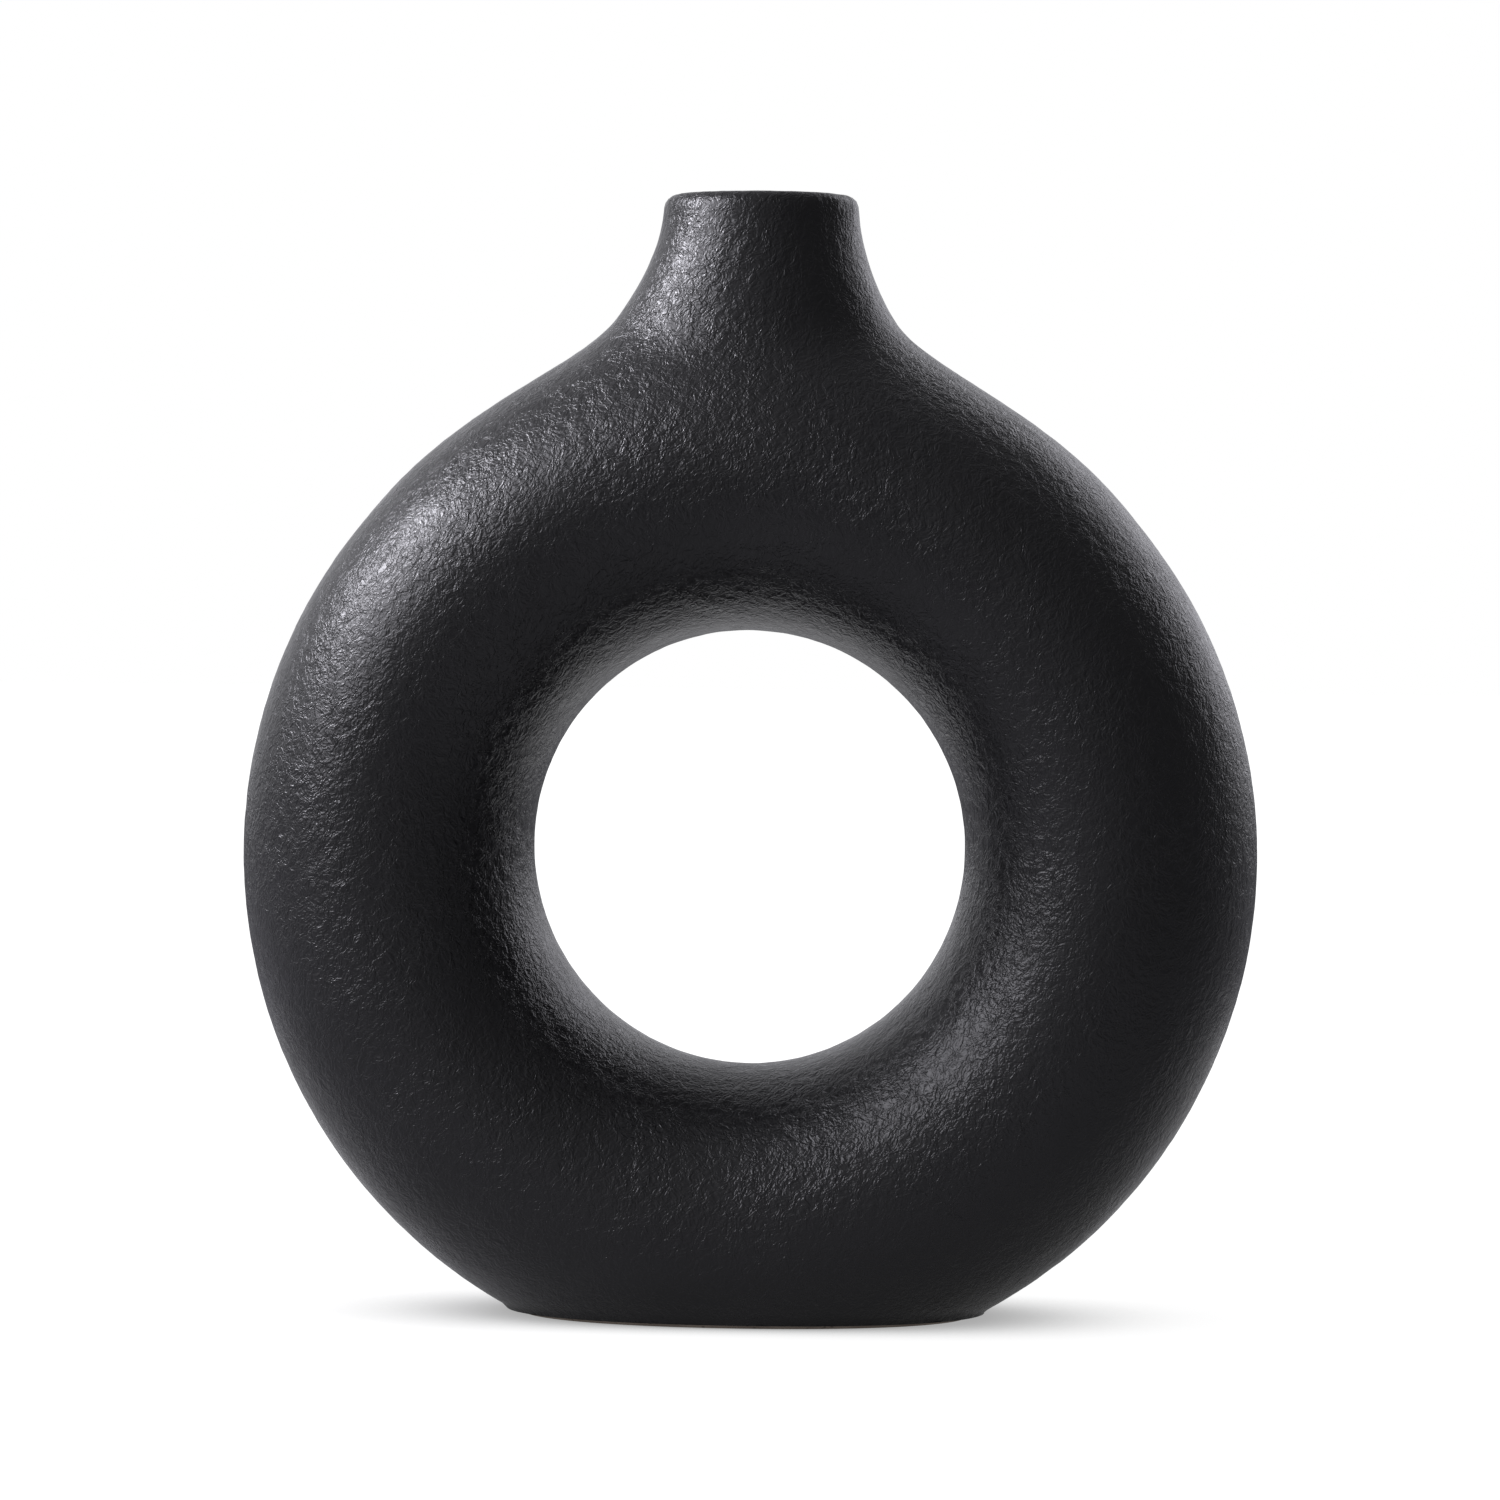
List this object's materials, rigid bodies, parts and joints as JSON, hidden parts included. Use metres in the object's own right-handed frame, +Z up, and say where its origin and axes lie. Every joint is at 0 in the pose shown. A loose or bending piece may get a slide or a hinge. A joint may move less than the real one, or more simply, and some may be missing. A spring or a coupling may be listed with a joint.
{
  "type": "ring vase",
  "caption": "Free-standing ring-shaped flower vase with a round hole through the middle, a short flared neck and a dark textured glaze.",
  "frame": {"origin": "on the ground plane, under the middle of the ring", "axes": "+Z up towards the lip, X across the width of the ring, Y through the hole with the front at -Y"},
  "size_m": [0.1908, 0.0684, 0.21],
  "materials": {
    "clay": "matte",
    "black_glaze": "satin",
    "lining_glaze": "gloss"
  },
  "bodies": {
    "root": {"front_shell": "clay", "back_shell": "clay", "foot_slab": "clay", "outer_glaze": "black_glaze", "liner_glaze": "lining_glaze"}
  },
  "joints": []
}
